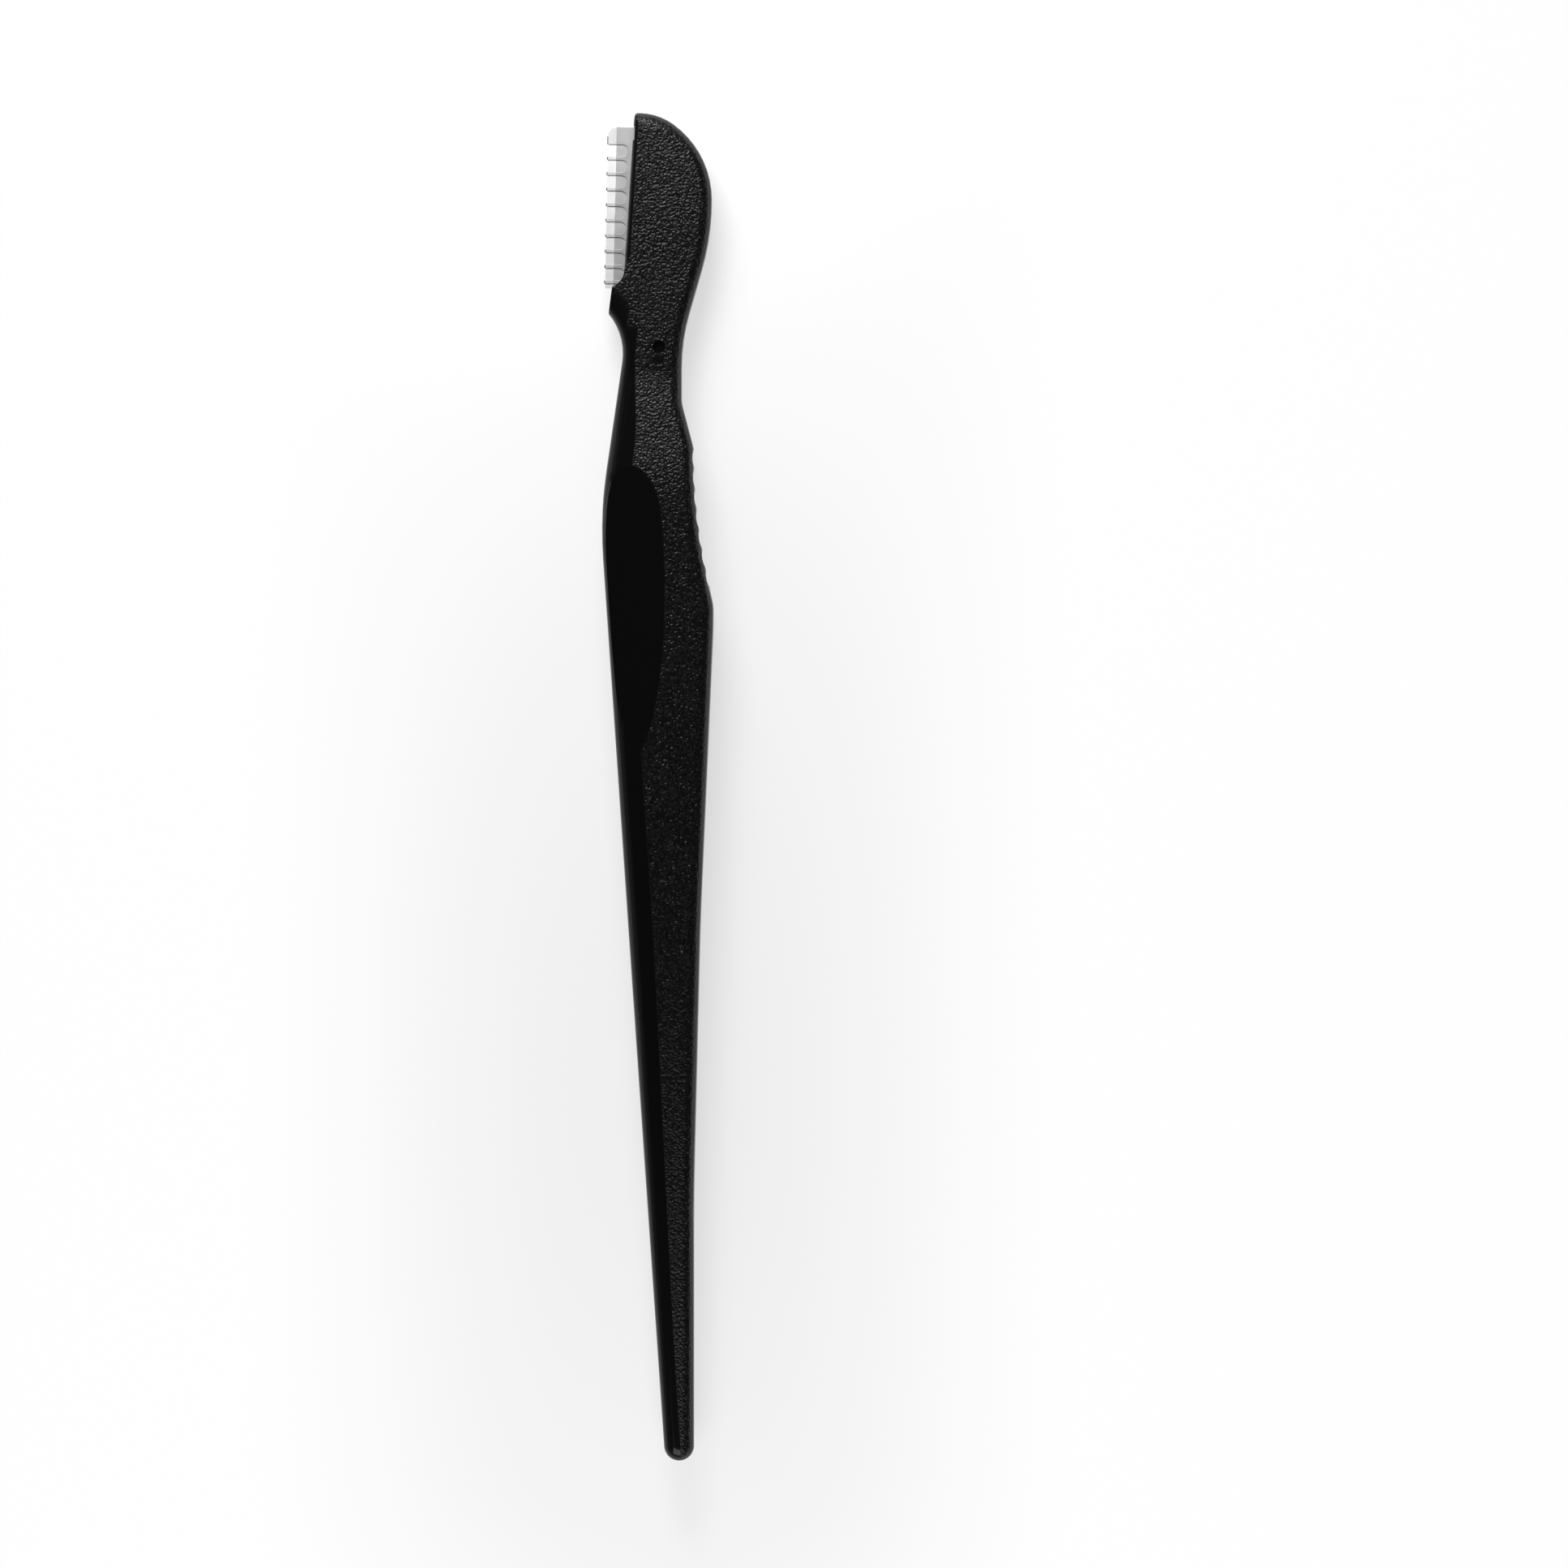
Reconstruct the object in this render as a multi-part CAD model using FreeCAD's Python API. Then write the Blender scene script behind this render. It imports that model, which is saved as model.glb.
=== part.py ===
import FreeCAD, Part
import math
import os

# Eyebrow razor lying on its side, in millimetres.
# The finished part has its origin under the middle of its outline, on the surface that it lies on.
# +X points from the cutting edge to the spine, +Y from the tail to the head and +Z up.
# The outline is drawn on the tail's axis, with Y as the distance from the tail's tip and Z from the
# middle plane, and is then moved into that frame. Spine offsets lie to +X of the axis and belly
# offsets to -X. Drops are measured down from the top of the head.

# Lengths along the razor
length = 110.0
crown_height = 7.08
spine_run = 13.76
neck_straight = 2.4
hump_run = 4.35
finger_rest_length = 13.02
heel_straight = 1.45
calf_run = 22.39
tail_straight = 21.86
lip_length = 12.94
toe_height = 1.6
underside_run = 2.18
belly_run = 14.77

# Offsets from the tail's axis
tail_width = 2.45
calf_spine = 1.77
heel_spine = 2.82
hump_spine = 1.21
neck_spine = 0.23
head_spine = 2.69
crown_centre_belly = 3.3
nose_belly = 3.63
lip_low_belly = 4.46
waist_belly = 4.33
grip_belly = 6.43

# Toe under the blade
toe_arc_radius = 1.45
toe_land = 0.14
toe_bulge = 0.2
toe_undercut = 0.12

# Thickness, from the middle plane to one face, and where it changes
head_half = 1.7
grip_half = 2.8
tail_half = 1.2
ramp_length = 11.5
flat_length = 42.0

# Rounding of the broad faces' edges
edge_round = 1.0
edge_round_limit_share = 0.85

# Radii of the outline's bends, as shares of the largest that leave room for each other
head_to_neck_shares = (0.523, 0.412)
neck_to_hump_shares = (0.318, 0.16)
hump_to_heel_shares = (0.898, 0.065)
ramp_shares = (0.15, 0.5)

# Radius of the crown as a share of its width, and rounding of corners as shares of their shorter side
crown_share = 0.812
lower_spine_shares = (0.9, 0.15, 0.15)
belly_shares = (0.24, 0.8)
taper_shares = (0.06,)

# Thumb rest: a shallow hollow, round across the handle and long along it
thumb_depth = 0.45
thumb_round = 10.7
thumb_long_round = 202.0
thumb_belly = 4.34
thumb_drop = 39.05

# Finger grooves across the spine
groove_count = 7
groove_radius = 2.2
groove_depth = 0.12
groove_top_margin = 0.55
groove_low_margin = 2.65

# Mouth of the head beside the blade, with a notch under the nose
lip_round = 0.5
lip_fade = 1.6
toe_round = 0.3
nose_height = 1.08
notch_length = 1.15
notch_depth = 0.12

# Neck: the stop line of a cap and the dimple that its pip snaps into
cap_line_drop = 21.0
cap_line_belly = 2.1
cap_line_width = 0.14
cap_line_depth = 0.04
cap_line_angle = 10.0
dimple_radius = 0.51
dimple_depth = 0.4
dimple_rise = 1.89
dimple_belly = 1.61

# Blade strip
blade_thickness = 0.2
blade_depth = 4.6
bevel_width = 0.66
blade_tilt = 1.33
corner_radius = 0.75
anchor_count = 3
anchor_margin = 2.2

# Skin guard
foil_thickness = 0.1
window_count = 10
window_pitch = 1.264
bar_width = 0.25
first_window_drop = 1.41

# Depth of the guard as a share of the blade's, depth of its windows as a share of its own, and radius of
# the anchor holes as a share of the tang behind it
guard_depth_share = 0.6
window_depth_share = 0.58
anchor_share = 0.32

# Fits and cuts
seat_clearance = 0.02
overrun = 5.0
match_tolerance = 0.001

# Stations that follow from the lengths
crown_y = length - crown_height
neck_top_y = crown_y - spine_run
neck_low_y = neck_top_y - neck_straight
hump_y = neck_low_y - hump_run
heel_y = hump_y - finger_rest_length
calf_y = tail_straight + calf_run
lip_low_y = length - lip_length
ledge_y = length - nose_height
cap_line_y = length - cap_line_drop
tail_radius = tail_width / 2
lip_lean = math.atan2(lip_low_belly - nose_belly, lip_length)
toe_centre_x = -lip_low_belly - toe_arc_radius * math.cos(lip_lean)
toe_centre_y = lip_low_y + toe_arc_radius * math.sin(lip_lean)
toe_x = toe_centre_x - toe_land
toe_y = toe_centre_y - toe_arc_radius
toe_low_y = toe_y - toe_height
waist_y = toe_low_y - underside_run
grip_y = waist_y - belly_run
strip_low = seat_clearance
strip_top = ledge_y - toe_y - seat_clearance
blade_half = blade_thickness / 2
guard_half = blade_half + foil_thickness
guard_depth = guard_depth_share * blade_depth
window_depth = window_depth_share * guard_depth
anchor_radius = anchor_share * (blade_depth - guard_depth)
anchor_x = (blade_depth + guard_depth) / 2


def point(x, y, z=0.0):
    """A point, or a direction, from its coordinates."""
    return FreeCAD.Vector(x, y, z)


def line(start, end):
    """A straight edge."""
    return Part.LineSegment(start, end).toShape()


def arc(start, middle, end):
    """A round edge through three points."""
    return Part.Arc(start, middle, end).toShape()


def bend(start, end, shares):
    """A round edge, a straight one and a round one, which leave and arrive along the razor's length."""
    across = end - start
    along = point(0, math.copysign(1, across.y))
    run = abs(across.y)
    across.y = 0
    side = across.Length
    across.normalize()
    largest = (run * run + side * side) / (2 * side)
    first = shares[0] * largest
    last = shares[1] * largest
    spare = first + last - side
    lean = math.atan2(run, spare) - math.acos((first + last) / math.hypot(run, spare))

    def turned(radius, angle):
        return along * (radius * math.sin(angle)) + across * (radius - radius * math.cos(angle))

    leave = start + turned(first, lean)
    arrive = end - turned(last, lean)
    return [
        arc(start, start + turned(first, lean / 2), leave),
        line(leave, arrive),
        arc(arrive, end - turned(last, lean / 2), end),
    ]


def corner(before, at, after, share):
    """The round edge that takes off a corner between two straight runs."""
    back = before - at
    on = after - at
    reach = share * min(back.Length, on.Length)
    half = back.getAngle(on) / 2
    back.normalize()
    on.normalize()
    inward = (back + on).normalize()
    depth = reach / math.cos(half) - reach * math.tan(half)
    return arc(at + back * reach, at + inward * depth, at + on * reach)


def rounded_run(places, shares):
    """Straight edges through the places, with the corners between them rounded."""
    arcs = []
    for number, share in enumerate(shares, 1):
        arcs.append(corner(places[number - 1], places[number], places[number + 1], share))
    edges = []
    start = places[0]
    for edge in arcs:
        edges += [line(start, edge.firstVertex().Point), edge]
        start = edge.lastVertex().Point
    return edges + [line(start, places[-1])]


def prism(edges, half_height):
    """The closed outline raised by the same height on both sides of the middle plane."""
    solid = Part.Face(Part.Wire(edges)).extrude(point(0, 0, 2 * half_height))
    solid.translate(point(0, 0, -half_height))
    return solid


def on_both_faces(tool):
    """The tool for the front face and its mirror image for the back face."""
    return [tool, tool.mirror(point(0, 0, 0), point(0, 0, 1))]


def finger_rest():
    """The hollow stretch of the spine from the hump to the heel."""
    return bend(point(hump_spine, hump_y), point(heel_spine, heel_y), hump_to_heel_shares)


def crown_edges():
    """The two arcs of the head, from its top round to its widest place."""
    width = head_spine + crown_centre_belly
    top_radius = crown_share * width
    square = width * width + crown_height * crown_height
    side_radius = (square - 2 * crown_height * top_radius) / (2 * (width - top_radius))
    top_centre = point(-crown_centre_belly, length - top_radius)
    side_centre = point(head_spine - side_radius, crown_y)
    outward = (top_centre - side_centre).normalize()
    turn = math.atan2(outward.y, outward.x)

    def on_arc(centre, radius, angle):
        return centre + point(math.cos(angle), math.sin(angle)) * radius

    top = point(-crown_centre_belly, length)
    joint = on_arc(side_centre, side_radius, turn)
    quarter = math.pi / 2
    return [
        arc(top, on_arc(top_centre, top_radius, (quarter + turn) / 2), joint),
        arc(joint, on_arc(side_centre, side_radius, turn / 2), point(head_spine, crown_y)),
    ]


def spine_edges():
    """The outline from the nose over the head and down the spine to the tail."""
    top = point(-crown_centre_belly, length)
    widest = point(head_spine, crown_y)
    neck_top = point(neck_spine, neck_top_y)
    neck_low = point(neck_spine, neck_low_y)
    hump = point(hump_spine, hump_y)
    lower = [point(heel_spine, heel_y), point(heel_spine, heel_y - heel_straight)]
    lower += [point(calf_spine, calf_y), point(tail_radius, tail_straight)]
    lower.append(point(tail_radius, tail_radius))
    edges = [line(point(-nose_belly, length), top)] + crown_edges()
    edges += bend(widest, neck_top, head_to_neck_shares) + [line(neck_top, neck_low)]
    edges += bend(neck_low, hump, neck_to_hump_shares) + finger_rest()
    return edges + rounded_run(lower, lower_spine_shares)


def belly_edges():
    """The outline from the tail's round tip up the belly and the neck to the toe."""
    centre = point(0, tail_radius)
    grip = point(-grip_belly, grip_y)
    waist = point(-waist_belly, waist_y)
    toe = point(toe_x - toe_undercut, toe_low_y)
    reach = grip - centre
    lean = math.atan2(-reach.x, reach.y) - math.asin(tail_radius / reach.Length)
    touch = centre - point(math.cos(lean), math.sin(lean)) * tail_radius
    tip = arc(point(tail_radius, tail_radius), point(0, 0), touch)
    return [tip] + rounded_run([touch, grip, waist, toe], belly_shares)


def mouth_edges():
    """The outline from the toe's corner through the hollow over the toe and up the lip to the nose."""
    centre = point(toe_centre_x, toe_centre_y)
    under = point(toe_centre_x, toe_y)
    turn = math.radians(45)
    middle = centre + point(math.cos(turn), -math.sin(turn)) * toe_arc_radius
    lip_low = point(-lip_low_belly, lip_low_y)
    return [
        line(point(toe_x, toe_y), under),
        arc(under, middle, lip_low),
        line(lip_low, point(-nose_belly, length)),
    ]


def toe_tip_edges():
    """The short bulging end of the toe."""
    low = point(toe_x - toe_undercut, toe_low_y)
    middle = point(toe_x - toe_bulge, (toe_y + toe_low_y) / 2)
    return [arc(low, middle, point(toe_x, toe_y))]


def thickness_body():
    """The razor's side view drawn through its whole width: head, ramp, flat grip and tapering tail."""
    flat_top = cap_line_y - ramp_length
    flat_low = flat_top - flat_length
    taper = (grip_half - tail_half) / flat_low
    start = point(0, length + overrun, head_half)
    neck = point(0, cap_line_y, head_half)
    grip = point(0, flat_top, grip_half)
    end = point(0, -overrun, tail_half - overrun * taper)
    front = [line(start, neck)] + bend(neck, grip, ramp_shares)
    front += rounded_run([grip, point(0, flat_low, grip_half), end], taper_shares)
    back = [edge.mirror(point(0, 0, 0), point(0, 0, 1)) for edge in front]
    ends = [line(start, point(0, start.y, -start.z)), line(end, point(0, end.y, -end.z))]
    wire = Part.Wire(Part.__sortEdges__(front + back + ends))
    body = Part.Face(wire).extrude(point(length, 0, 0))
    body.translate(point(-length / 2, 0, 0))
    return body


def rounded(body, path, radius):
    """The body with the edges of its faces rounded along a stretch of the outline."""
    wire = Part.Wire(path)
    edges = []
    for edge in body.Edges:
        middle = edge.valueAt((edge.FirstParameter + edge.LastParameter) / 2)
        gap = wire.distToShape(Part.Vertex(middle.x, middle.y, 0))[0]
        box = edge.BoundBox
        if gap < match_tolerance and box.XLength + box.YLength > match_tolerance:
            edges.append(edge)
    return body.makeFillet(radius, edges)


def thumb_tool():
    """The ring whose outer side sinks the thumb rest into the front face."""
    ring_radius = thumb_long_round - thumb_round
    axis = point(-thumb_belly, length - thumb_drop, grip_half - thumb_depth + thumb_long_round)
    return Part.makeTorus(ring_radius, thumb_round, axis, point(1, 0, 0))


def groove_tools():
    """One cylinder for each finger groove, evenly spaced along the hollow of the spine."""
    rest = Part.Wire(finger_rest())
    pitch = (rest.Length - groove_top_margin - groove_low_margin) / (groove_count - 1)
    tools = []
    for number in range(groove_count):
        along = groove_top_margin + number * pitch
        for edge in rest.OrderedEdges:
            if along <= edge.Length:
                break
            along -= edge.Length
        place = edge.getParameterByLength(along)
        forward = edge.tangentAt(place)
        outward = point(-forward.y, forward.x)
        centre = edge.valueAt(place) + outward * (groove_radius - groove_depth)
        centre.z = -grip_half - overrun
        tools.append(Part.makeCylinder(groove_radius, 2 * (grip_half + overrun), centre))
    return tools


def seat_on_lip(shape):
    """Turns a shape drawn with its Y up the lip onto the lip's real line."""
    shape.rotate(point(0, 0, 0), point(0, 0, 1), -math.degrees(lip_lean))
    shape.translate(point(-lip_low_belly, lip_low_y))
    return shape


def notch_tool():
    """The shallow notch in the lip, just under the nose."""
    low = lip_length - nose_height - notch_length
    deep = head_half + overrun
    base = point(notch_depth - overrun, low, -deep)
    return seat_on_lip(Part.makeBox(overrun, notch_length, 2 * deep, base))


def lip_tool():
    """The rounding of the front face along the lip, which runs out in a wedge above the toe."""
    low = head_half - lip_round
    high = head_half + overrun
    turn = math.radians(45)
    middle = point(lip_round - lip_round * math.cos(turn), 0, low + lip_round * math.sin(turn))
    corners = [point(lip_round, 0, head_half), point(lip_round, 0, high), point(-overrun, 0, high)]
    corners += [point(-overrun, 0, low), point(0, 0, low)]
    edges = [line(corners[i - 1], corners[i]) for i in range(1, len(corners))]
    edges.append(arc(corners[-1], middle, corners[0]))
    tool = Part.Face(Part.Wire(edges)).extrude(point(0, lip_length + overrun, 0))
    rise = overrun * lip_fade / lip_round
    ends = [point(-overrun, -rise), point(overrun, rise), point(overrun, -rise)]
    wedge = [line(ends[i - 1], ends[i]) for i in range(len(ends))]
    return seat_on_lip(tool.cut(prism(wedge, high)))


def cap_line_tool():
    """The fine slanting line across the neck where a cap stops."""
    tool = Part.makeBox(length, cap_line_width, overrun)
    tool.translate(point(-length / 2, -cap_line_width / 2, head_half - cap_line_depth))
    tool.rotate(point(0, 0, 0), point(0, 0, 1), -cap_line_angle)
    tool.translate(point(-cap_line_belly, cap_line_y))
    return tool


def dimple_tool():
    """The round recess on the neck that holds a cap's pip."""
    base = point(-dimple_belly, cap_line_y + dimple_rise, head_half - dimple_depth)
    return Part.makeCylinder(dimple_radius, dimple_depth + overrun, base)


def seat_on_edge(shape):
    """Turns a shape drawn with its Y along the cutting edge onto the edge's real line by the toe."""
    shape.rotate(point(0, 0, 0), point(0, 0, 1), -blade_tilt)
    shape.translate(point(toe_x, toe_y))
    return shape


def anchor_pegs(radius):
    """The round places where the moulding runs through the strip's tang."""
    span = strip_top - strip_low - 2 * anchor_margin
    pegs = []
    for number in range(anchor_count):
        along = strip_low + anchor_margin + span * number / (anchor_count - 1)
        base = point(anchor_x, along, -grip_half)
        pegs.append(Part.makeCylinder(radius, 2 * grip_half, base))
    return pegs


def slot_tools():
    """The slots that the tang and the guard's flanges sit in, with the pegs left standing across them."""
    tools = []
    for depth, half in ((blade_depth, blade_half), (guard_depth, guard_half)):
        thick = 2 * (half + seat_clearance)
        base = point(-overrun, 0, -half - seat_clearance)
        tool = Part.makeBox(depth + seat_clearance + overrun, strip_top + seat_clearance, thick, base)
        tools.append(seat_on_edge(tool.cut(anchor_pegs(anchor_radius))))
    return tools


def handle():
    """The black moulding from the tail to the head."""
    soft = spine_edges() + belly_edges()
    toe_tip = toe_tip_edges()
    body = prism(soft + toe_tip + mouth_edges(), grip_half + overrun).common(thickness_body())
    body = rounded(body, soft, min(edge_round, edge_round_limit_share * min(tail_half, tail_radius)))
    body = rounded(body, toe_tip, toe_round)
    for tool in (lip_tool(), thumb_tool(), cap_line_tool(), dimple_tool()):
        body = body.cut(on_both_faces(tool))
    return body.cut(groove_tools() + slot_tools() + [notch_tool()])


def strip(edges):
    """A strip with the given section across the cutting edge, with its free corner rounded off."""
    solid = Part.Face(Part.Wire(edges)).extrude(point(0, strip_top - strip_low, 0))
    solid.translate(point(0, strip_low, 0))
    centre = point(corner_radius, strip_top - corner_radius)
    turn = math.radians(45)
    middle = centre + point(-math.cos(turn), math.sin(turn)) * corner_radius
    start = point(0, centre.y)
    end = point(centre.x, strip_top)
    high = strip_top + overrun
    past = [end, point(end.x, high), point(-overrun, high), point(-overrun, start.y), start]
    edges = [arc(start, middle, end)] + [line(past[i - 1], past[i]) for i in range(1, len(past))]
    return solid.cut(prism(edges, overrun))


def blade_section():
    """The blade's section: a thin strip ground to an edge from both sides."""
    corners = [point(0, 0, 0), point(bevel_width, 0, blade_half), point(blade_depth, 0, blade_half)]
    corners += [point(blade_depth, 0, -blade_half), point(bevel_width, 0, -blade_half)]
    return [line(corners[i - 1], corners[i]) for i in range(len(corners))]


def blade():
    """The steel strip with its two ground bevels and the holes in its tang."""
    holes = anchor_pegs(anchor_radius + seat_clearance)
    return seat_on_edge(strip(blade_section()).cut(holes))


def guard_section():
    """The outside of the folded foil: the blade's section grown by the foil's thickness."""
    bevel = math.atan2(blade_half, bevel_width)
    off_bevel = point(-math.sin(bevel), 0, math.cos(bevel)) * foil_thickness
    reach = foil_thickness * math.tan(bevel / 2)
    shoulder = point(bevel_width - reach, 0, guard_half)
    back = point(guard_depth, 0, guard_half)

    def below(place):
        return point(place.x, 0, -place.z)

    return [
        arc(below(off_bevel), point(-foil_thickness, 0, 0), off_bevel),
        line(off_bevel, shoulder),
        line(shoulder, back),
        line(back, below(back)),
        line(below(back), below(shoulder)),
        line(below(shoulder), below(off_bevel)),
    ]


def window_tool(top):
    """One window of the guard, open over the edge and round at its inner end."""
    low = top - window_pitch + bar_width
    radius = (top - low) / 2
    straight = window_depth - radius
    outer = -overrun
    edges = [
        line(point(outer, low), point(straight, low)),
        arc(point(straight, low), point(window_depth, low + radius), point(straight, top)),
        line(point(straight, top), point(outer, top)),
        line(point(outer, top), point(outer, low)),
    ]
    return prism(edges, overrun)


def skin_guard():
    """The slotted foil folded over the cutting edge, with both flanges running into the slot."""
    foil = strip(guard_section()).cut(strip(blade_section()))
    first = strip_top - first_window_drop
    windows = [window_tool(first - number * window_pitch) for number in range(window_count)]
    return seat_on_edge(foil.cut(windows))


def write_parts():
    """Moves every piece into the part's frame and writes one file for each."""
    os.makedirs("parts", exist_ok=True)
    pieces = {"handle": handle(), "blade": blade(), "skin_guard": skin_guard()}
    box = pieces["handle"].optimalBoundingBox(False)
    shift = point(-box.Center.x, -box.Center.y, -box.ZMin)
    for name, piece in pieces.items():
        piece.translate(shift)
        solids = len(piece.Solids)
        print(name, "valid", piece.isValid(), "solids", solids, "volume", round(piece.Volume, 3))
        piece.exportStep("parts/" + name + ".step")
    print("axis of the tail at", round(shift.x, 4), round(shift.y, 4), round(shift.z, 4))


if __name__ == "__main__":
    write_parts()
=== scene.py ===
import logging
import math
from dataclasses import dataclass, field
from enum import Enum
from typing import Any, Union

import bmesh
import bpy
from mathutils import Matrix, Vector


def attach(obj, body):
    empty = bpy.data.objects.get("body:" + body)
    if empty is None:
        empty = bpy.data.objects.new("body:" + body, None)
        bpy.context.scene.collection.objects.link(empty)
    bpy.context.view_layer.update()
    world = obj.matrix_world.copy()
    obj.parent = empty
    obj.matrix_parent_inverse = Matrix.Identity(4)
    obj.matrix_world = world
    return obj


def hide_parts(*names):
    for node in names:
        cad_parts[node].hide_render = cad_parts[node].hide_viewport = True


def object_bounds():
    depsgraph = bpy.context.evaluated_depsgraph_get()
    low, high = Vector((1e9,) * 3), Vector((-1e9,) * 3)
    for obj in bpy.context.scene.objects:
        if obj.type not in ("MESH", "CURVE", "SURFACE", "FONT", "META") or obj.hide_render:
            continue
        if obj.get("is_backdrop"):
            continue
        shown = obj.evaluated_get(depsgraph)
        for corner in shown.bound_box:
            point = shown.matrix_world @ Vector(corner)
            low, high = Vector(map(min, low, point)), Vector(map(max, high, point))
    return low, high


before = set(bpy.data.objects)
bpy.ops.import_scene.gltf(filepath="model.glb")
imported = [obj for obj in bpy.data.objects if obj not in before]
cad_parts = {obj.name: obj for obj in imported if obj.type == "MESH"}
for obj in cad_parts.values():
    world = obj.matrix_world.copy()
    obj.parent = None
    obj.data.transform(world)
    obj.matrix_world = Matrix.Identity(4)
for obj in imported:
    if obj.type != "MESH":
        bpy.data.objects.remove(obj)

MM = 0.001
BODY = "root"
MID_PLANE = 2.8 * MM
NOISE_MIDDLE = 0.5
Pair = tuple[float, float]
Triple = tuple[float, float, float]
Colour = Triple
Number = Union["Value", float]
Paint = Union["Value", tuple[float, float, float, float]]

log = logging.getLogger("eyebrow_razor")


class Value:
    """A socket of a node graph whose arithmetic adds the Math nodes that it needs."""

    def __init__(self, graph: "Graph", socket: bpy.types.NodeSocket) -> None:
        """Wraps an output socket.

        Args:
            graph: The graph that the socket belongs to.
            socket: The output that carries the value.
        """
        self.graph = graph
        self.socket = socket

    def maths(self, operation: str, *others: Number, flipped: bool = False) -> "Value":
        """Adds one Math node.

        Args:
            operation: The node's operation.
            others: The other operands.
            flipped: Whether this value comes after the others.

        Returns:
            The node's result.
        """
        operands = [*others, self] if flipped else [self, *others]
        return self.graph.add("ShaderNodeMath", {"operation": operation}, dict(enumerate(operands)))

    def __add__(self, other: Number) -> "Value":
        """Adds another value.

        Args:
            other: The value to add.

        Returns:
            The sum.
        """
        return self.maths("ADD", other)

    __radd__ = __add__

    def __mul__(self, other: Number) -> "Value":
        """Multiplies by another value.

        Args:
            other: The factor.

        Returns:
            The product.
        """
        return self.maths("MULTIPLY", other)

    __rmul__ = __mul__

    def __sub__(self, other: Number) -> "Value":
        """Subtracts another value.

        Args:
            other: The value to take away.

        Returns:
            The difference.
        """
        return self.maths("SUBTRACT", other)

    def __rsub__(self, other: Number) -> "Value":
        """Subtracts this value from another.

        Args:
            other: The value to take this one from.

        Returns:
            The difference.
        """
        return self.maths("SUBTRACT", other, flipped=True)

    def __abs__(self) -> "Value":
        """Drops the sign.

        Returns:
            The size of the value.
        """
        return self.maths("ABSOLUTE")

    def largest(self, other: Number) -> "Value":
        """Picks the larger of two values.

        Args:
            other: The other value.

        Returns:
            The larger one.
        """
        return self.maths("MAXIMUM", other)

    def smallest(self, other: Number) -> "Value":
        """Picks the smaller of two values.

        Args:
            other: The other value.

        Returns:
            The smaller one.
        """
        return self.maths("MINIMUM", other)

    def length_with(self, other: "Value") -> "Value":
        """Finds the long side of the right triangle on two values.

        Args:
            other: The other short side.

        Returns:
            The long side.
        """
        return (self * self + other * other).maths("SQRT")

    def rise(self, low: float, high: float) -> "Value":
        """A smooth step.

        Args:
            low: Where the step still gives 0.
            high: Where it reaches 1.

        Returns:
            The stepped value.
        """
        settings = {"interpolation_type": "SMOOTHSTEP"}
        return self.graph.add("ShaderNodeMapRange", settings, {0: self, 1: low, 2: high, 3: 0.0, 4: 1.0})


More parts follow.
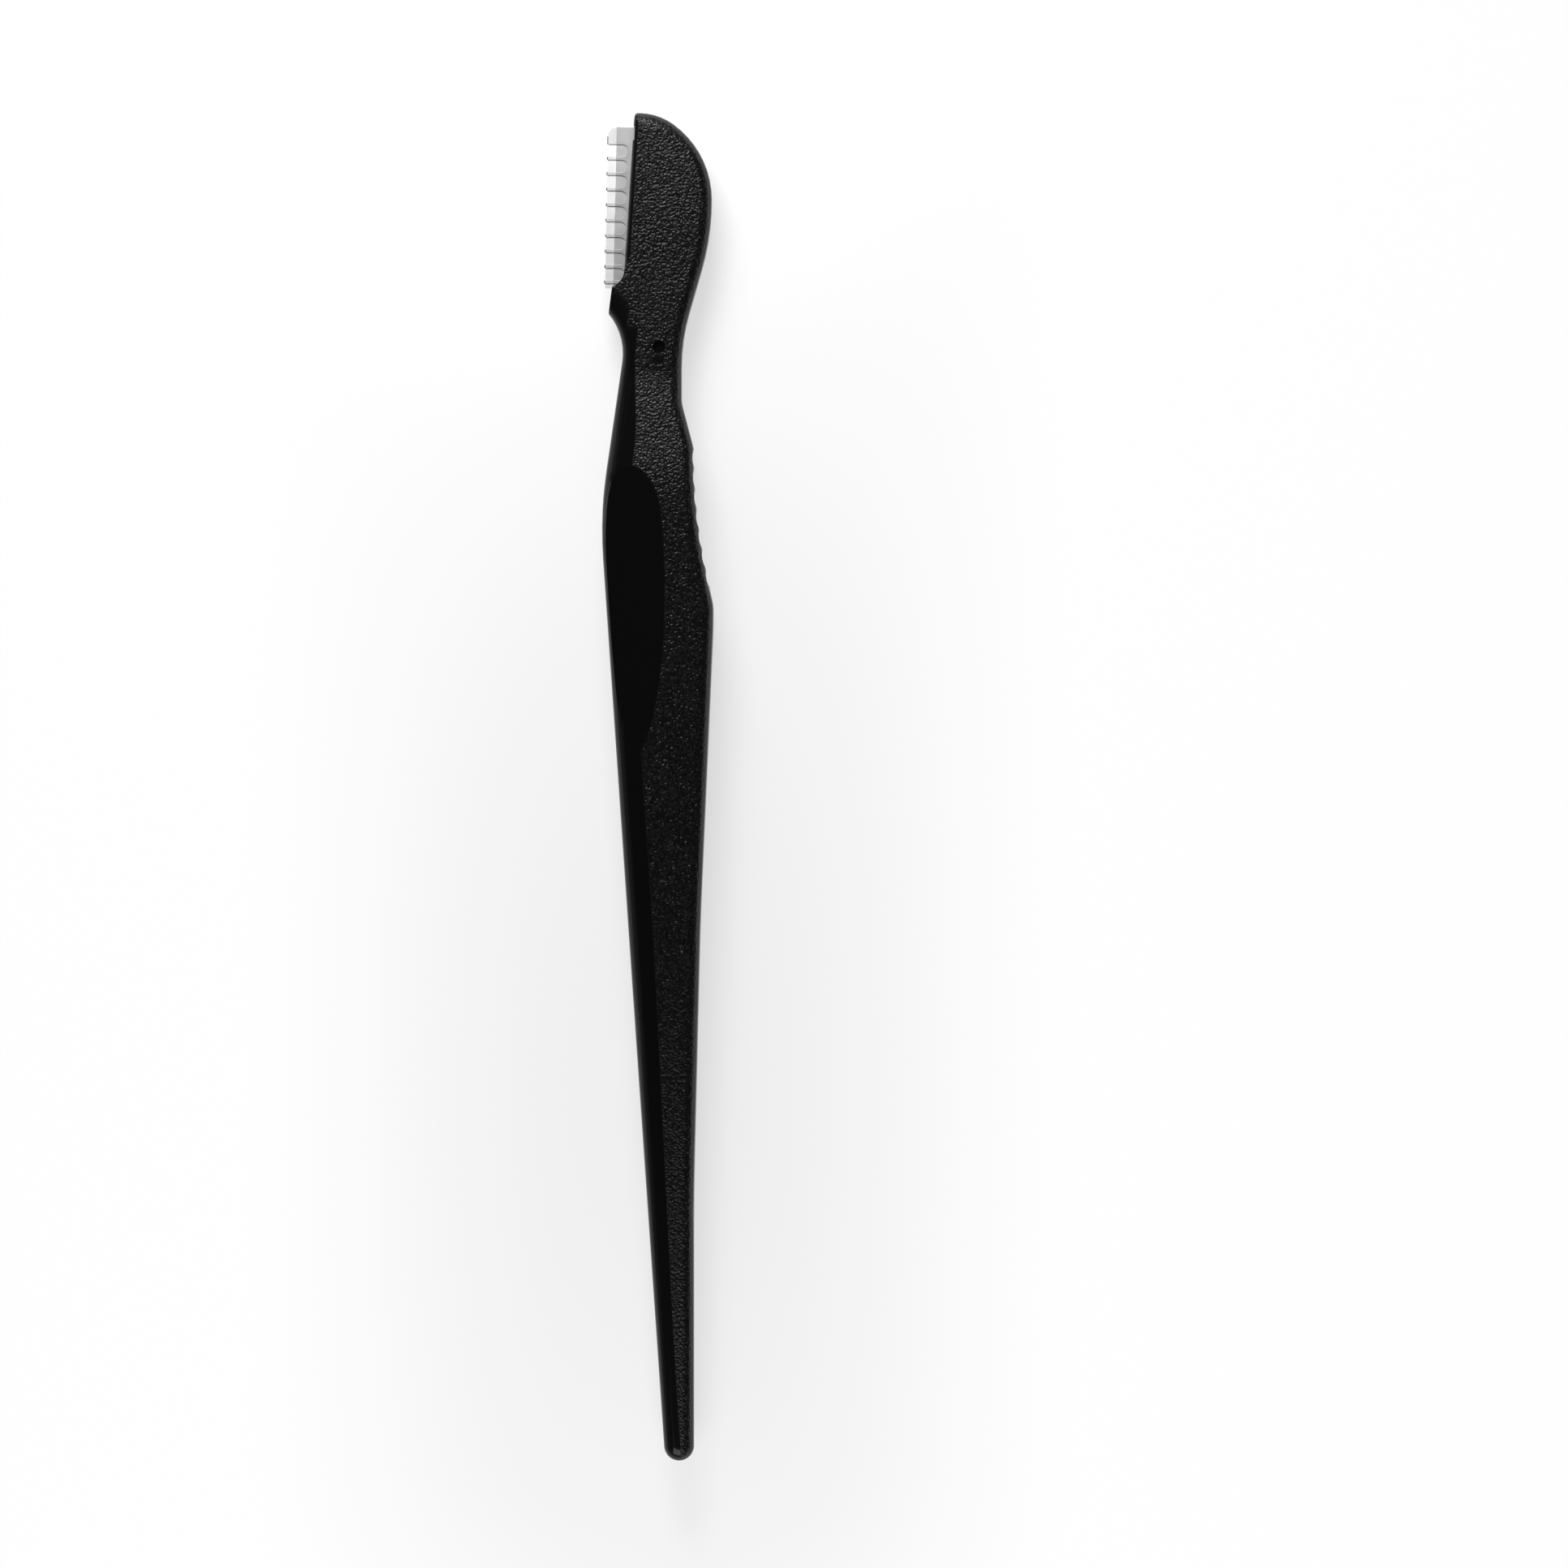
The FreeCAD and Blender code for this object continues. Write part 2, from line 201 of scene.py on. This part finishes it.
class Graph:
    """The node tree of one material or of the world."""

    def __init__(self, tree: bpy.types.NodeTree) -> None:
        """Empties a tree.

        Args:
            tree: The tree to build in.
        """
        self.tree = tree
        tree.nodes.clear()

    def add(self, kind: str, settings: dict[str, Any], inputs: dict[Any, Any], output: Any = 0) -> Value:
        """Adds one node of any type.

        Args:
            kind: The node's type.
            settings: Its own settings, which are set first.
            inputs: Numbers, colours or values for its sockets, by name or place.
            output: The output to use, by name or place.

        Returns:
            That output.
        """
        node = self.tree.nodes.new(kind)
        for name, setting in settings.items():
            setattr(node, name, setting)
        for name, entry in inputs.items():
            if isinstance(entry, Value):
                self.tree.links.new(entry.socket, node.inputs[name])
            else:
                node.inputs[name].default_value = entry
        return Value(self, node.outputs[output] if node.outputs else node.inputs[0])

    def coordinates(self, output: str = "Object") -> Value:
        """Reads the piece's own coordinates.

        Args:
            output: The kind of coordinates, or the normal.

        Returns:
            The coordinates.
        """
        return self.add("ShaderNodeTexCoord", {}, {}, output)

    def part(self, vector: Value, axis: str) -> Value:
        """Takes one component of a vector.

        Args:
            vector: The vector.
            axis: The component, X, Y or Z.

        Returns:
            The component.
        """
        return self.add("ShaderNodeSeparateXYZ", {}, {0: vector}, axis)

    def stretch(self, vector: Value, scale: Triple) -> Value:
        """Scales coordinates.

        Args:
            vector: The coordinates.
            scale: The scale along each axis.

        Returns:
            The new coordinates.
        """
        return self.add("ShaderNodeMapping", {}, {"Vector": vector, "Scale": scale})

    def noise(self, vector: Value, grain: float, detail: float, distortion: float = 0.0) -> Value:
        """Soft noise.

        Args:
            vector: The coordinates.
            grain: The size of one grain, in the units of the coordinates.
            detail: How many finer layers it has.
            distortion: How far the grains are pulled about.

        Returns:
            The noise, from 0 to 1.
        """
        sockets = {"Vector": vector, "Scale": 1 / grain, "Detail": detail, "Distortion": distortion}
        return self.add("ShaderNodeTexNoise", {}, sockets, "Fac")

    def bump(self, height: Value, depth: float, below: "Value | None" = None) -> Value:
        """Turns a height into a normal.

        Args:
            height: The height, where 1 stands for the whole depth.
            depth: The depth, in metres.
            below: The normal of a bump underneath.

        Returns:
            The normal.
        """
        sockets: dict[Any, Any] = {"Height": height, "Distance": depth, "Strength": 1.0}
        if below is not None:
            sockets["Normal"] = below
        return self.add("ShaderNodeBump", {}, sockets)

    def blend(self, share: Value, low: Paint, high: Paint) -> Value:
        """Mixes two colours.

        Args:
            share: The share of the second colour.
            low: The first colour.
            high: The second colour.

        Returns:
            The mixed colour.
        """
        return self.add("ShaderNodeMix", {"data_type": "RGBA"}, {0: share, 6: low, 7: high}, 2)

    def surface(self, inputs: dict[str, Any]) -> None:
        """Ends the graph in one Principled shader.

        Args:
            inputs: Numbers, colours or values for the shader's sockets, by name.
        """
        shader = self.add("ShaderNodeBsdfPrincipled", {}, inputs)
        self.add("ShaderNodeOutputMaterial", {}, {"Surface": shader})


def new_material(name: str) -> tuple[bpy.types.Material, Graph]:
    """Makes an empty material.

    Args:
        name: The material's name.

    Returns:
        The material and its graph.
    """
    material = bpy.data.materials.new(name)
    material.use_nodes = True
    return material, Graph(material.node_tree)


@dataclass(frozen=True)
class ThumbRest:
    """The smooth hollow for the thumb: part of a ring that lies over each broad face."""

    belly: float = 2.6176 * MM
    along: float = 15.95 * MM
    middle: float = MID_PLANE
    grip_half: float = 2.8 * MM
    depth: float = 0.45 * MM
    across_round: float = 10.7 * MM
    long_round: float = 202.0 * MM
    edge_low: float = 0.02 * MM
    edge_high: float = 0.06 * MM

    def outside(self, x: Value, y: Value, z: Value) -> Value:
        """The share of the surface that is not in the hollow.

        Args:
            x: The place across the handle.
            y: The place along it.
            z: The height.

        Returns:
            0 in the hollow and 1 outside it.
        """
        above = self.grip_half - self.depth + self.long_round - abs(z - self.middle)
        ring = (y - self.along).length_with(above) - (self.long_round - self.across_round)
        gap = ring.length_with(x + self.belly) - self.across_round
        return gap.rise(self.edge_low, self.edge_high)


@dataclass(frozen=True)
class BellyBand:
    """The smooth band along the belly, from the tail over the grip to the neck."""

    tail: Pair = (0.4983 * MM, -53.7 * MM)
    grip: Pair = (-4.7076 * MM, 22.153 * MM)
    waist: Pair = (-2.6076 * MM, 36.923 * MM)
    tail_width: float = 1.3 * MM
    grip_width: float = 2.0 * MM
    waist_width: float = 0.9 * MM
    full_from: float = -5.0 * MM
    full_to: float = 27.0 * MM
    edge: float = 0.06 * MM
    swell: Pair = (0.25 * MM, 1.0 * MM)
    swell_height: float = 0.13 * MM

    def depth(self, x: Value, y: Value) -> Value:
        """How far a place lies in from the belly's outline.

        Args:
            x: The place across the handle.
            y: The place along it.

        Returns:
            The distance.
        """
        depths = []
        for start, end in ((self.tail, self.grip), (self.grip, self.waist)):
            run = Vector(end) - Vector(start)
            run.normalize()
            depths.append((x - start[0]) * run.y - (y - start[1]) * run.x)
        return depths[0].smallest(depths[1])

    def past_neck(self, y: Value) -> Value:
        """Tells the handle from the head, where there is no band.

        Args:
            y: The place along the handle.

        Returns:
            0 on the handle and 1 on the head.
        """
        return y.rise(self.full_to, self.waist[1])

    def outside(self, x: Value, y: Value) -> Value:
        """The share of the surface that is not in the band.

        Args:
            x: The place across the handle.
            y: The place along it.

        Returns:
            0 in the band and 1 outside it.
        """
        grown = y.rise(self.tail[1], self.full_from) * (self.grip_width - self.tail_width)
        shrunk = self.past_neck(y) * (self.grip_width - self.waist_width)
        beyond = self.depth(x, y) - (grown - shrunk + self.tail_width)
        return beyond.rise(0.0, self.edge).largest(y.rise(self.waist[1], self.waist[1] + self.waist_width))

    def height(self, x: Value, y: Value) -> Value:
        """The fall of the rounding, which grows from the tail to the grip and fades on the neck.

        Args:
            x: The place across the handle.
            y: The place along it.

        Returns:
            The height, in metres.
        """
        full = y.rise(self.tail[1], self.full_from) * (1 - self.past_neck(y))
        return (self.depth(x, y).rise(*self.swell) - 1) * full * self.swell_height


@dataclass(frozen=True)
class SmoothSpot:
    """A round place on both faces where the grain is missing or worn."""

    place: Pair
    radius: float
    edge: float
    smoothness: float

    def outside(self, x: Value, y: Value) -> Value:
        """The share of the grain that is left.

        Args:
            x: The place across the handle.
            y: The place along it.

        Returns:
            The rest of the grain in the spot and 1 outside it.
        """
        gap = (x - self.place[0]).length_with(y - self.place[1]) - self.radius
        return gap.rise(0.0, self.edge) * self.smoothness + (1 - self.smoothness)


EJECTOR_MARK = SmoothSpot((0.04 * MM, 34.81 * MM), 0.43 * MM, 0.05 * MM, 0.5)
DIMPLE_FLOOR = SmoothSpot((0.1124 * MM, 35.89 * MM), 0.5 * MM, 0.04 * MM, 0.9)
TOE = SmoothSpot((-4.1 * MM, 38.6 * MM), 1.3 * MM, 0.8 * MM, 1.0)


@dataclass(frozen=True)
class GrainedPlastic:
    """Black moulded plastic with a spark-eroded grain, which the belly and the thumb rests do without."""

    colour: Colour = (0.0022, 0.0022, 0.0023)
    tip_colour: Colour = (0.0078, 0.0078, 0.008)
    tips: Pair = (0.45, 0.72)
    specular_level: float = 0.25
    grain: float = 0.19 * MM
    grain_distortion: float = 0.4
    grain_depth: float = 0.072 * MM
    fine_grain: float = 0.09 * MM
    fine_detail: float = 1.0
    fine_share: float = 0.25
    steep: float = 0.55
    level: float = 0.85
    belly_tilt: Pair = (0.12, 0.2)
    roughness: float = 0.28
    smooth_roughness: float = 0.15
    mottle: float = 6.0 * MM
    mottle_detail: float = 3.0
    mottle_roughness: float = 0.06
    rest: ThumbRest = field(default_factory=ThumbRest)
    band: BellyBand = field(default_factory=BellyBand)
    spots: tuple[SmoothSpot, ...] = (EJECTOR_MARK, DIMPLE_FLOOR, TOE)

    def grained(self, graph: Graph, x: Value, y: Value, z: Value) -> Value:
        """Where the grain lies.

        Args:
            graph: The graph to build in.
            x: The place across the handle.
            y: The place along it.
            z: The height.

        Returns:
            1 on the grain and 0 on smooth places.
        """
        normal = graph.coordinates("Normal")
        facing = abs(graph.part(normal, "Z")).rise(self.steep, self.level)
        to_belly = (0 - graph.part(normal, "X")).rise(*self.belly_tilt)
        grained = self.rest.outside(x, y, z) * self.band.outside(x, y) * facing * (1 - to_belly)
        for spot in self.spots:
            grained = grained * spot.outside(x, y)
        return grained

    def material(self, name: str) -> bpy.types.Material:
        """Builds the finish.

        Args:
            name: The material's name.

        Returns:
            The material.
        """
        material, graph = new_material(name)
        place = graph.coordinates()
        x, y, z = (graph.part(place, axis) for axis in "XYZ")
        grained = self.grained(graph, x, y, z)
        coarse = graph.noise(place, self.grain, 0.0, self.grain_distortion)
        fine = graph.noise(place, self.fine_grain, self.fine_detail)
        mottle = graph.noise(place, self.mottle, self.mottle_detail)
        rough = self.smooth_roughness + grained * (self.roughness - self.smooth_roughness)
        swell = graph.bump(self.band.height(x, y), 1.0)
        tips = coarse.rise(*self.tips) * grained
        graph.surface({
            "Base Color": graph.blend(tips, (*self.colour, 1), (*self.tip_colour, 1)),
            "Roughness": rough + (mottle - NOISE_MIDDLE) * self.mottle_roughness,
            "Normal": graph.bump((coarse + fine * self.fine_share) * grained, self.grain_depth, swell),
            "Specular IOR Level": self.specular_level,
        })
        return material


class Lay(Enum):
    """The direction of the fine lines on a piece of steel."""

    ALONG = "along the edge"
    ACROSS = "across the edge"

    def scale(self, line_length: float, line_width: float) -> Triple:
        """Finds the scale that draws noise out into lines.

        Args:
            line_length: The length of one line.
            line_width: Its width.

        Returns:
            The scale along X, Y and Z.
        """
        long, fine = 1 / line_length, 1 / line_width
        return (fine, long, fine) if self is Lay.ALONG else (long, fine, fine)


@dataclass(frozen=True)
class Steel:
    """Thin stainless steel, rolled on its flats and ground on its slopes, with painted shade darkening its
    steep rims and window walls.
    """

    lay: Lay
    flat_colour: Colour
    ground_colour: Colour
    flat_roughness: float
    ground_roughness: float
    # painted shade: the darker colour that the steep rims and window walls take
    rim_shade_colour: Colour = (0.2, 0.2, 0.2)
    rim_roughness: float = 0.2
    slope_low: float = 0.9995
    slope_high: float = 0.994
    rim_low: float = 0.99
    rim_high: float = 0.94
    line_length: float = 3.0 * MM
    line_width: float = 0.03 * MM
    line_detail: float = 3.0
    line_depth: float = 0.0006 * MM
    line_roughness: float = 0.12
    cloud: float = 0.9 * MM
    cloud_detail: float = 2.0
    cloud_roughness: float = 0.1

    def material(self, name: str) -> bpy.types.Material:
        """Builds the finish.

        Args:
            name: The material's name.

        Returns:
            The material.
        """
        material, graph = new_material(name)
        place = graph.coordinates()
        level = abs(graph.part(graph.coordinates("Normal"), "Z"))
        ground = 1 - level.rise(self.slope_high, self.slope_low)
        rim = 1 - level.rise(self.rim_high, self.rim_low)
        drawn_out = graph.stretch(place, self.lay.scale(self.line_length, self.line_width))
        lines = graph.noise(drawn_out, 1.0, self.line_detail)
        cloud = graph.noise(place, self.cloud, self.cloud_detail)
        rough = self.flat_roughness + ground * (self.ground_roughness - self.flat_roughness)
        rough = rough + rim * (self.rim_roughness - self.ground_roughness)
        rough = rough + (lines - NOISE_MIDDLE) * self.line_roughness
        face = graph.blend(ground, (*self.flat_colour, 1), (*self.ground_colour, 1))
        graph.surface({
            # painted shade: steep rims blend towards the darker rim colour
            "Base Color": graph.blend(rim, face, (*self.rim_shade_colour, 1)),
            "Metallic": 1.0,
            "Roughness": rough + (cloud - NOISE_MIDDLE) * self.cloud_roughness,
            "Normal": graph.bump(lines, self.line_depth),
        })
        return material


@dataclass
class Piece:
    """One piece of the razor, which stands for a solid of the frame."""

    node: str
    slot: str
    merge_gap: float = 0.0005 * MM

    def start(self) -> bmesh.types.BMesh:
        """Makes a mesh of the solid's shape, with its loose triangles joined up.

        Returns:
            The mesh.
        """
        mesh = bmesh.new()
        mesh.from_mesh(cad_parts[self.node].data)
        bmesh.ops.remove_doubles(mesh, verts=mesh.verts, dist=self.merge_gap)
        return mesh

    def finish(self, mesh: bmesh.types.BMesh, material: bpy.types.Material) -> bpy.types.Object:
        """Turns a mesh into the finished piece.

        Args:
            mesh: The piece's mesh, in place.
            material: Its finish.

        Returns:
            The piece, riding on the razor's body in place of its solid.
        """
        data = bpy.data.meshes.new(self.node + "_shape")
        mesh.to_mesh(data)
        mesh.free()
        data.materials.append(material)
        piece = bpy.data.objects.new("razor_" + self.node, data)
        bpy.context.scene.collection.objects.link(piece)
        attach(piece, BODY)
        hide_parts(self.node)
        return piece


@dataclass
class Handle(Piece):
    """The black moulding with its head, neck, thumb rest, finger grooves and tail."""

    node: str = "handle"
    slot: str = "handle_plastic"
    sharp_angle: float = math.radians(35)
    nose: Pair = (-1.9076 * MM, 55.0 * MM)
    nose_round: float = 0.42 * MM
    nose_cuts: int = 6
    finish_of: GrainedPlastic = field(default_factory=GrainedPlastic)

    def round_nose(self, mesh: bmesh.types.BMesh) -> None:
        """Takes the corner off the nose, over the free end of the blade.

        Args:
            mesh: The handle's mesh.
        """
        centre = Vector((self.nose[0] + self.nose_round, self.nose[1] - self.nose_round, 0))
        for number in range(self.nose_cuts):
            turn = math.radians(90) * (number + 0.5) / self.nose_cuts
            outward = Vector((-math.sin(turn), math.cos(turn), 0))
            cut = bmesh.ops.bisect_plane(mesh, geom=[*mesh.verts, *mesh.edges, *mesh.faces],
                                         plane_co=centre + outward * self.nose_round, plane_no=outward,
                                         clear_outer=True)
            edges = [item for item in cut["geom_cut"] if isinstance(item, bmesh.types.BMEdge)]
            bmesh.ops.holes_fill(mesh, edges=edges)

    def build(self) -> bpy.types.Object:
        """Builds the handle with smooth rounded edges.

        Returns:
            The handle.
        """
        mesh = self.start()
        self.round_nose(mesh)
        for face in mesh.faces:
            face.smooth = True
        for edge in mesh.edges:
            edge.smooth = edge.is_manifold and edge.calc_face_angle() < self.sharp_angle
        piece = self.finish(mesh, self.finish_of.material("grained_black_plastic"))
        weighted = piece.modifiers.new("even_shading", "WEIGHTED_NORMAL")
        weighted.keep_sharp = True
        return piece


@dataclass
class SteelPiece(Piece):
    """A piece of thin steel with softened edges."""

    edge_softening: float = 0.01 * MM
    edge_segments: int = 3
    sharp_angle: float = math.radians(25)
    flat_angle: float = math.radians(0.5)

    def shape(self, mesh: bmesh.types.BMesh) -> None:
        """Leaves the mesh as the solid has it.

        Args:
            mesh: The piece's mesh.
        """

    def build(self, finish_of: Steel, name: str) -> bpy.types.Object:
        """Builds the piece.

        Args:
            finish_of: The steel's finish.
            name: The finish's name.

        Returns:
            The piece.
        """
        mesh = self.start()
        bmesh.ops.dissolve_limit(mesh, angle_limit=self.flat_angle, verts=mesh.verts, edges=mesh.edges)
        self.shape(mesh)
        piece = self.finish(mesh, finish_of.material(name))
        soft = piece.modifiers.new("soft_edges", "BEVEL")
        soft.width = self.edge_softening
        soft.segments = self.edge_segments
        soft.limit_method = "ANGLE"
        soft.angle_limit = self.sharp_angle
        soft.harden_normals = True
        return piece


@dataclass
class SkinGuard(SteelPiece):
    """The slotted foil over the blade, whose windows have rounded rims on the outside."""

    rim_round: float = 0.08 * MM
    rim_segments: int = 4
    clear_gap: float = 0.006 * MM
    middle: float = MID_PLANE
    outward: float = 0.9
    upright: float = 0.2

    def on_rim(self, edge: bmesh.types.BMEdge) -> bool:
        """Tells whether an edge parts the foil's outside from the wall of a window.

        Args:
            edge: The edge.

        Returns:
            True for a window's rim.
        """
        faces = sorted(edge.link_faces, key=lambda face: abs(face.normal.z))
        if len(faces) < 2 or abs(faces[0].normal.z) > self.upright:
            return False
        side = math.copysign(1, edge.verts[0].co.z - self.middle)
        return faces[1].normal.z * side > self.outward

    def shape(self, mesh: bmesh.types.BMesh) -> None:
        """Rounds the rims of the windows and clears the slivers that this leaves.

        Args:
            mesh: The foil's mesh.
        """
        mesh.normal_update()
        rims = [edge for edge in mesh.edges if self.on_rim(edge)]
        bmesh.ops.bevel(mesh, geom=rims, offset=self.rim_round, segments=self.rim_segments,
                        affect="EDGES", profile=0.5, material=-1, clamp_overlap=True)
        bmesh.ops.dissolve_degenerate(mesh, edges=mesh.edges, dist=self.clear_gap)


@dataclass(frozen=True)
class SoftBox:
    """A square lamp that hangs over the razor."""

    name: str
    place: Triple
    target: Triple
    side: float
    power: float

    def hang(self) -> None:
        """Adds the lamp and points it at its target."""
        data = bpy.data.lights.new(self.name, "AREA")
        data.shape = "RECTANGLE"
        data.size = data.size_y = self.side
        data.energy = self.power
        lamp = bpy.data.objects.new(self.name, data)
        bpy.context.scene.collection.objects.link(lamp)
        lamp.location = self.place
        lamp.rotation_mode = "QUATERNION"
        lamp.rotation_quaternion = (Vector(self.target) - Vector(self.place)).to_track_quat("-Z", "Y")
        lamp.visible_camera = False


HEAD_BOX = SoftBox("head_box", (-0.02, 0.115, 0.08), (0, 0.03, 0), 0.06, 0.17)
TAIL_BOX = SoftBox("tail_box", (-0.01, -0.115, 0.075), (0, -0.03, 0), 0.09, 0.075)


@dataclass
class Studio:
    """The floor, the light and the camera."""

    photo_pixels: float = 1932.0
    pixels_per_metre: float = 15.087 / MM
    razor_pixel: Pair = (810.8, 969.7)
    camera_height: float = 0.75
    clip_share: float = 10.0
    sensor: float = 36.0
    razor_half: float = 0.055
    floor_reach: float = 3.0
    floor_colour: Colour = (0.92, 0.92, 0.92)
    floor_glow_near: float = 0.64
    floor_glow_far: float = 0.985
    floor_glow_reach: Pair = (0.006, 0.035)
    belly_horizon: float = 0.34
    spine_horizon: float = 0.2
    zenith: float = 0.07
    zenith_from: float = 0.85
    boxes: tuple[SoftBox, ...] = (HEAD_BOX, TAIL_BOX)

    def seen(self, graph: Graph) -> Value:
        """Picks the rays that carry the background to the eye: direct, mirrored and through glass.

        Args:
            graph: The graph to build in.

        Returns:
            1 for those rays and 0 for others.
        """
        rays = [graph.add("ShaderNodeLightPath", {}, {}, name)
                for name in ("Is Camera Ray", "Is Glossy Ray", "Is Transmission Ray")]
        return rays[0].largest(rays[1]).largest(rays[2])

    def floor(self) -> None:
        """Lays the pale floor, which keeps the razor's shadow."""
        mesh = bmesh.new()
        bmesh.ops.create_grid(mesh, x_segments=1, y_segments=1, size=self.floor_reach)
        data = bpy.data.meshes.new("floor")
        mesh.to_mesh(data)
        mesh.free()
        floor = bpy.data.objects.new("floor", data)
        bpy.context.scene.collection.objects.link(floor)
        material, graph = new_material("pale_floor")
        paint = graph.add("ShaderNodeBsdfDiffuse", {}, {"Color": (*self.floor_colour, 1)})
        glow = graph.add("ShaderNodeEmission", {}, {"Color": (1, 1, 1, 1), "Strength": 1.0})
        place = graph.coordinates()
        past_end = (abs(graph.part(place, "Y")) - self.razor_half).largest(0.0)
        away = abs(graph.part(place, "X")).length_with(past_end)
        glowing = away.rise(*self.floor_glow_reach) * (self.floor_glow_far - self.floor_glow_near)
        share = self.seen(graph) * (glowing + self.floor_glow_near)
        mixed = graph.add("ShaderNodeMixShader", {}, {0: share, 1: paint, 2: glow})
        graph.add("ShaderNodeOutputMaterial", {}, {"Surface": mixed})
        data.materials.append(material)
        floor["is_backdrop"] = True

    def sky(self) -> None:
        """Adds soft light that is dim overhead and brightest low down on the belly's side."""
        world = bpy.data.worlds.new("studio")
        bpy.context.scene.world = world
        world.use_nodes = True
        graph = Graph(world.node_tree)
        ahead = graph.coordinates("Generated")
        to_spine = graph.part(ahead, "X").rise(-1.0, 1.0)
        low = to_spine * (self.spine_horizon - self.belly_horizon) + self.belly_horizon
        strength = low + graph.part(ahead, "Z").rise(0.0, self.zenith_from) * (self.zenith - low)
        shader = graph.add("ShaderNodeBackground", {}, {"Color": (1, 1, 1, 1), "Strength": strength})
        graph.add("ShaderNodeOutputWorld", {}, {"Surface": shader})

    def camera(self, middle: Vector) -> None:
        """Hangs the camera straight above, framed as the photograph is.

        Args:
            middle: The middle of the razor's box.
        """
        data = bpy.data.cameras.new("camera")
        camera = bpy.data.objects.new("camera", data)
        bpy.context.scene.collection.objects.link(camera)
        bpy.context.scene.camera = camera
        half = self.photo_pixels / 2
        right = (half - self.razor_pixel[0]) / self.pixels_per_metre
        up = (self.razor_pixel[1] - half) / self.pixels_per_metre
        camera.location = Vector((middle.x + right, middle.y + up, middle.z + self.camera_height))
        data.sensor_width = self.sensor
        data.lens = self.sensor * self.camera_height * self.pixels_per_metre / self.photo_pixels
        data.clip_end = self.clip_share * self.camera_height

    def build(self, middle: Vector) -> None:
        """Builds the studio round the razor.

        Args:
            middle: The middle of the razor's box.
        """
        self.floor()
        self.sky()
        for box in self.boxes:
            box.hang()
        self.camera(middle)
        bpy.context.scene.view_settings.view_transform = "Standard"


def main() -> None:
    """Builds the razor and its studio, and logs each piece's face count."""
    logging.basicConfig(level=logging.INFO, format="%(name)s: %(message)s")
    solid_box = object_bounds()
    blade_finish = Steel(Lay.ALONG, (0.58, 0.58, 0.59), (0.8, 0.8, 0.8), 0.4, 0.45)
    guard_finish = Steel(Lay.ACROSS, (0.62, 0.62, 0.62), (0.72, 0.72, 0.72), 0.36, 0.4)
    pieces = [
        Handle().build(),
        SteelPiece("blade", "blade_steel").build(blade_finish, "ground_blade_steel"),
        SkinGuard("skin_guard", "guard_steel").build(guard_finish, "guard_foil_steel"),
    ]
    for piece in pieces:
        log.info("%s: %d faces", piece.name, len(piece.data.polygons))
    Studio().build((solid_box[0] + solid_box[1]) / 2)


if __name__ == "__main__":
    main()
